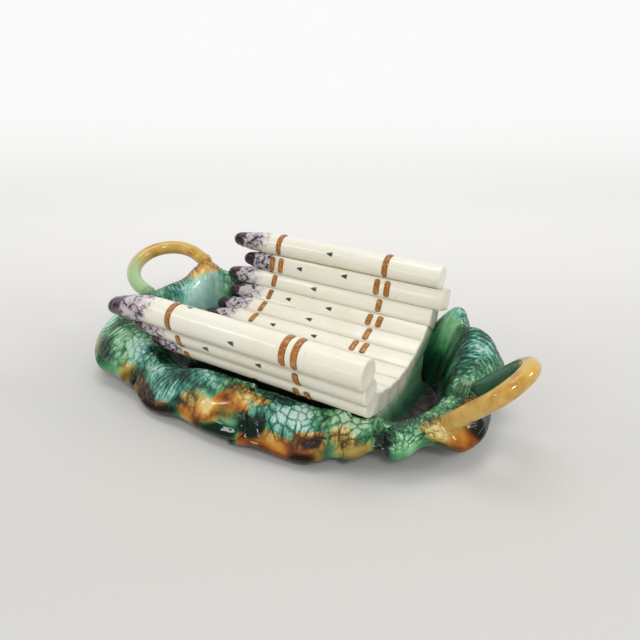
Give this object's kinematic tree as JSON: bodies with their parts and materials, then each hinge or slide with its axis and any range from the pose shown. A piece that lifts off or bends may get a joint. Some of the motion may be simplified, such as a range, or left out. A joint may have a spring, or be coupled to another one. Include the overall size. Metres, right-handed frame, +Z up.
{
  "type": "asparagus plate",
  "caption": "Glazed ceramic asparagus server: a ruffled leaf dish with looped stem handles and a raised cradle of moulded asparagus spears tied with raffia.",
  "frame": {"origin": "middle of the plate on the table, below the centre of its outline", "axes": "+Z up; +X along the spears towards their cut butts; -Y is the front, the side with the low wall"},
  "size_m": [0.388, 0.195, 0.1064],
  "materials": {
    "leaf_glaze": "glossy green and amber glaze",
    "well_glaze": "glossy dark grey green glaze",
    "cradle_glaze": "glossy cream glaze running to green",
    "stem_glaze": "glossy amber glaze running to green",
    "spear_glaze": "glossy ivory glaze with dark purple tips",
    "tie_glaze": "glossy orange brown glaze"
  },
  "bodies": {
    "root": {"foot_ring": "leaf_glaze", "dish_floor": "well_glaze", "cradle_base": "cradle_glaze", "right_handle": "stem_glaze", "left_handle": "stem_glaze", "stalk_stump": "stem_glaze", "tie_tip_end": "tie_glaze", "tie_butt_end": "tie_glaze", "leaf_right_end": "leaf_glaze", "leaf_back_right": "leaf_glaze", "leaf_back_middle": "leaf_glaze", "leaf_back_left": "leaf_glaze", "leaf_left_end": "leaf_glaze", "leaf_front_left": "leaf_glaze", "leaf_front_middle": "leaf_glaze", "leaf_front_right": "leaf_glaze", "leaf_front_corner": "leaf_glaze", "spear_01": "spear_glaze", "spear_02": "spear_glaze", "spear_03": "spear_glaze", "spear_04": "spear_glaze", "spear_05": "spear_glaze", "spear_06": "spear_glaze", "spear_07": "spear_glaze", "spear_08": "spear_glaze", "spear_09": "spear_glaze", "spear_10": "spear_glaze", "spear_11": "spear_glaze", "spear_12": "spear_glaze", "spear_13": "spear_glaze"}
  },
  "joints": []
}
